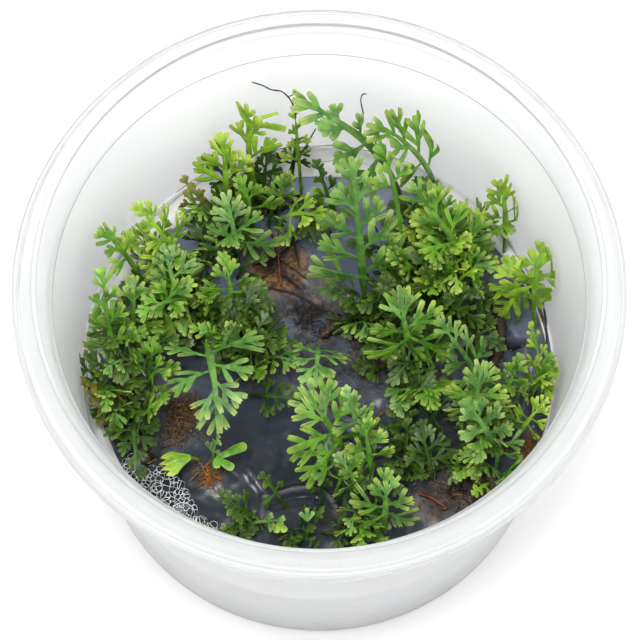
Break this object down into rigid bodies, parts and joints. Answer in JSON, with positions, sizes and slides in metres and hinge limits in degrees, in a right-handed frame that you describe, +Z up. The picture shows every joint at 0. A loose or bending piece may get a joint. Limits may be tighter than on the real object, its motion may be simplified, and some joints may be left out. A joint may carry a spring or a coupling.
{
  "type": "tissue culture bolbitis difformis in its cup",
  "caption": "Small aquarium fern in tissue culture: lobed green fronds on creeping rhizomes over a dark gel in an open, round, milky plastic cup.",
  "frame": {"origin": "centre of the cup's base, on the surface it stands on", "axes": "+Z up, the cup's own axis; the picture's camera looks from -Y, high above"},
  "size_m": [0.1, 0.1, 0.068],
  "materials": {
    "cup_plastic": "milky translucent, lightly frosted",
    "charcoal_gel": "wet and glossy",
    "rhizome_bark": "matte",
    "leaf_young": "soft sheen",
    "leaf_fresh": "soft sheen",
    "leaf_cool": "soft sheen",
    "leaf_deep": "soft sheen",
    "leaf_bronze": "soft sheen"
  },
  "bodies": {
    "root": {"cup": "cup_plastic", "gel": "charcoal_gel", "rhizome_left": "rhizome_bark", "rhizome_back_left": "rhizome_bark", "rhizome_back": "rhizome_bark", "rhizome_centre": "rhizome_bark", "rhizome_right": "rhizome_bark", "rhizome_front": "rhizome_bark", "frond_big_top_leaf": "leaf_cool", "frond_centre_upright": "leaf_cool", "frond_left_star_big": "leaf_cool", "frond_centre_right_star": "leaf_fresh", "frond_back_mass_right": "leaf_fresh", "frond_right_star_outer": "leaf_young", "frond_right_star_inner": "leaf_young", "frond_pale_back_stem": "leaf_fresh", "frond_back_right_tall": "leaf_fresh", "frond_left_back_tall": "leaf_fresh", "frond_back_left_curl": "leaf_young", "frond_bronze_tip": "leaf_bronze", "frond_tall_left_a": "leaf_young", "frond_tall_left_b": "leaf_young", "frond_thin_back": "leaf_young", "frond_right_edge_tall": "leaf_young", "frond_right_edge_small": "leaf_young", "frond_right_low_fan": "leaf_young", "frond_right_mid_big": "leaf_cool", "frond_right_centre_rosette": "leaf_fresh", "frond_right_front_pale": "leaf_cool", "frond_right_spray": "leaf_fresh", "frond_front_star": "leaf_fresh", "frond_front_centre_big": "leaf_fresh", "frond_front_centre_bud": "leaf_cool", "frond_front_centre_right": "leaf_fresh", "frond_back_mass_mid": "leaf_fresh", "frond_back_left_rosette": "leaf_cool", "frond_centre_back_pale": "leaf_young", "frond_centre_star": "leaf_cool", "frond_left_edge_a": "leaf_fresh", "frond_left_edge_b": "leaf_deep", "frond_left_low_a": "leaf_bronze", "frond_left_low_b": "leaf_deep", "frond_left_mid_arch": "leaf_fresh", "frond_centre_left_tuft": "leaf_deep", "frond_right_deep_a": "leaf_cool", "frond_right_deep_b": "leaf_deep", "frond_centre_right_low": "leaf_deep", "frond_back_centre_thin": "leaf_deep", "frond_back_left_small": "leaf_fresh", "frond_front_left_dark": "leaf_deep", "frond_front_low": "leaf_deep", "frond_yellow_fan": "leaf_young", "frond_twin_leaf": "leaf_fresh", "frond_right_front_low": "leaf_young"}
  },
  "joints": []
}
